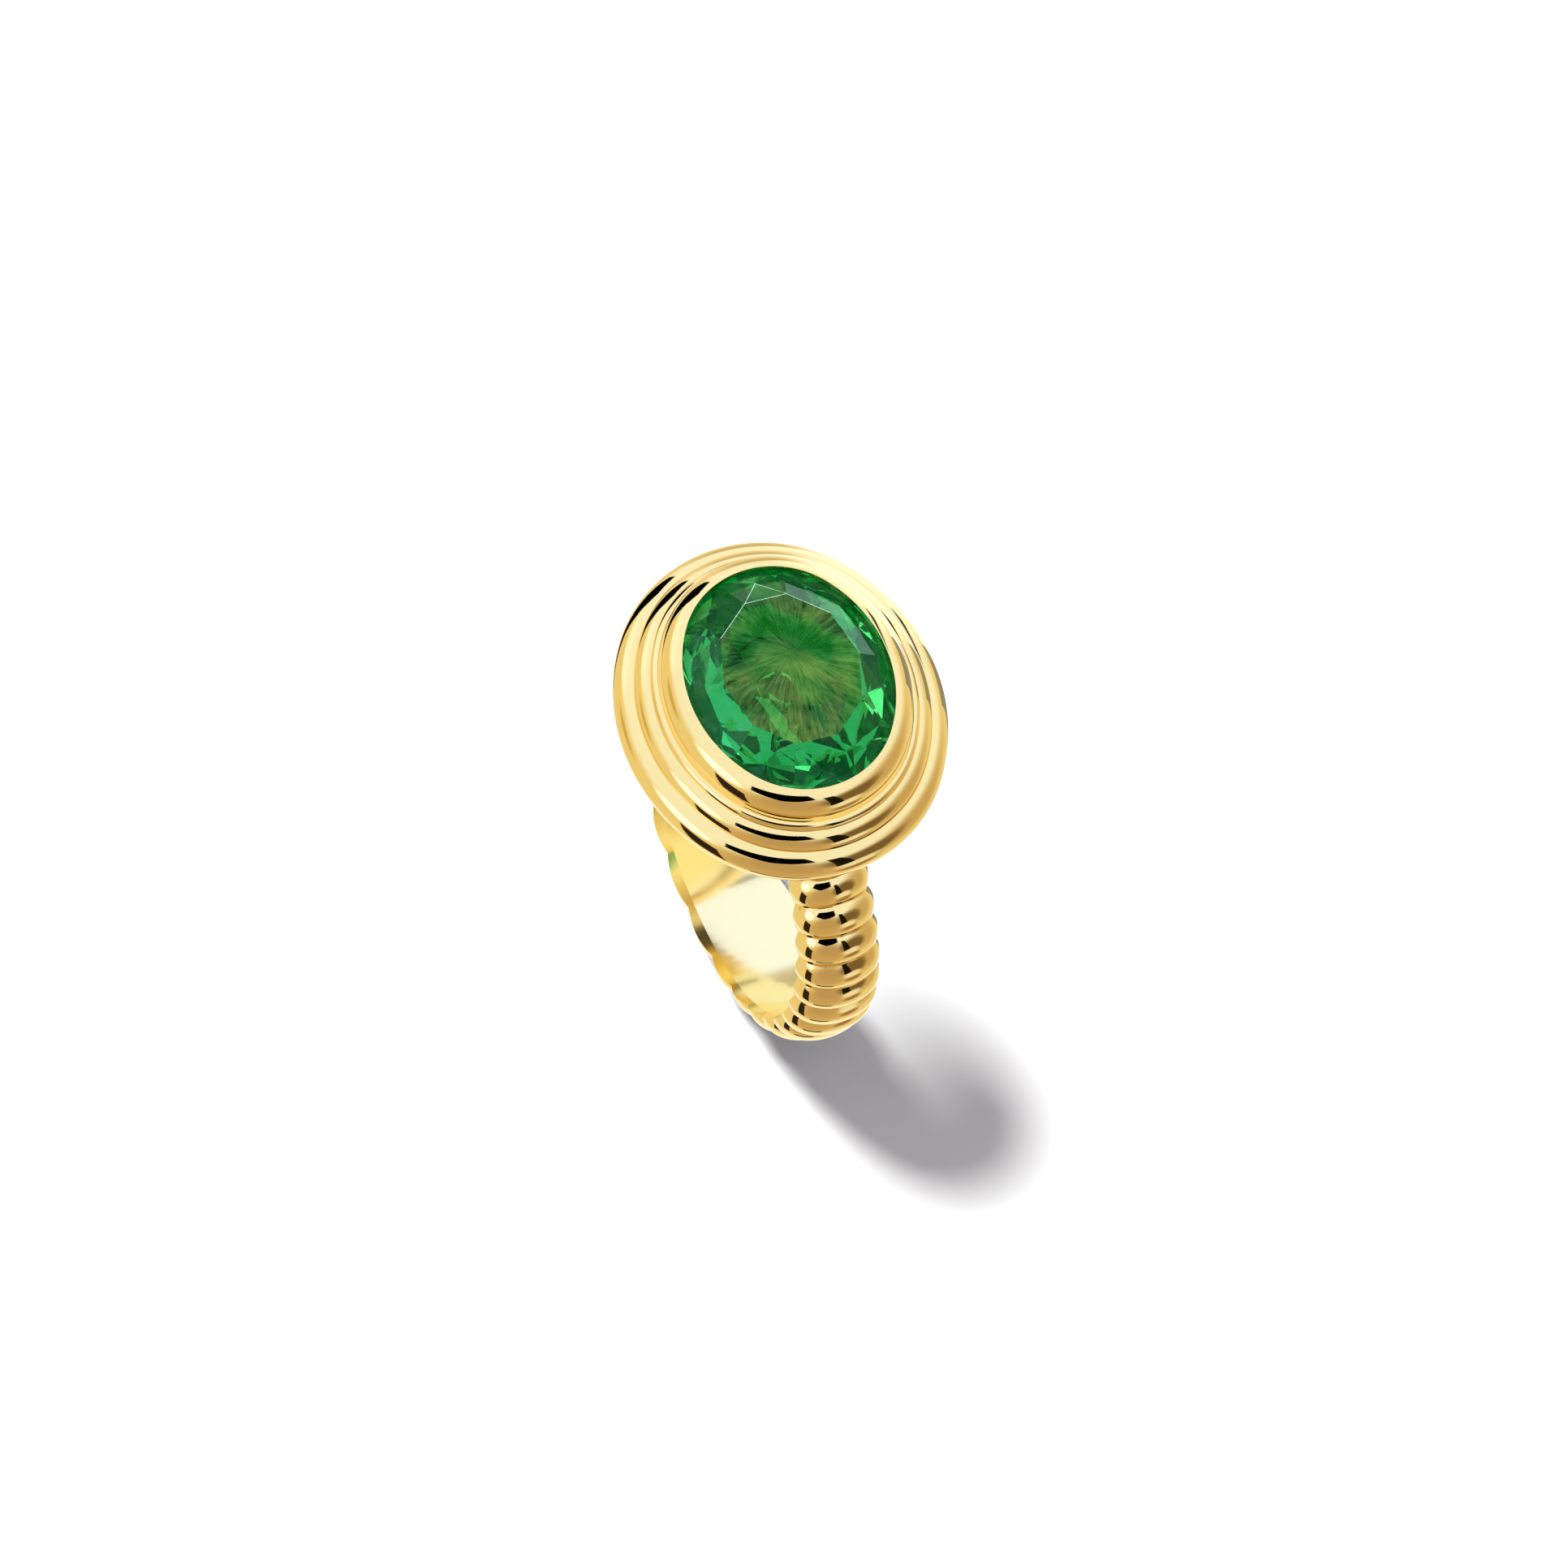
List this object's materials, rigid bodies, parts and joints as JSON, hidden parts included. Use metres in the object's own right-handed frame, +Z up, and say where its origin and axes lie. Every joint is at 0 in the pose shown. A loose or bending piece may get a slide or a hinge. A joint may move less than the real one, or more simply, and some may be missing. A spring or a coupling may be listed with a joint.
{
  "type": "cocktail ring",
  "caption": "Cocktail ring with a gadrooned band and an oval faceted green stone in a stepped, ribbed bezel head.",
  "frame": {"origin": "centre of the finger hole", "axes": "+X across the finger along the stone's long side, +Y along the finger hole, +Z up through the stone's table"},
  "size_m": [0.0202, 0.0138, 0.0236],
  "materials": {
    "gold": "high polish yellow gold",
    "stone": "polished facets, deep green"
  },
  "bodies": {
    "root": {"emerald": "stone", "bezel_collar": "gold", "bearing_ledge": "gold", "bead_wire": "gold", "middle_rib": "gold", "outer_rib": "gold", "gallery_plate": "gold", "saddle_bridge": "gold", "shank_band": "gold", "shank_sleeve": "gold"}
  },
  "joints": []
}
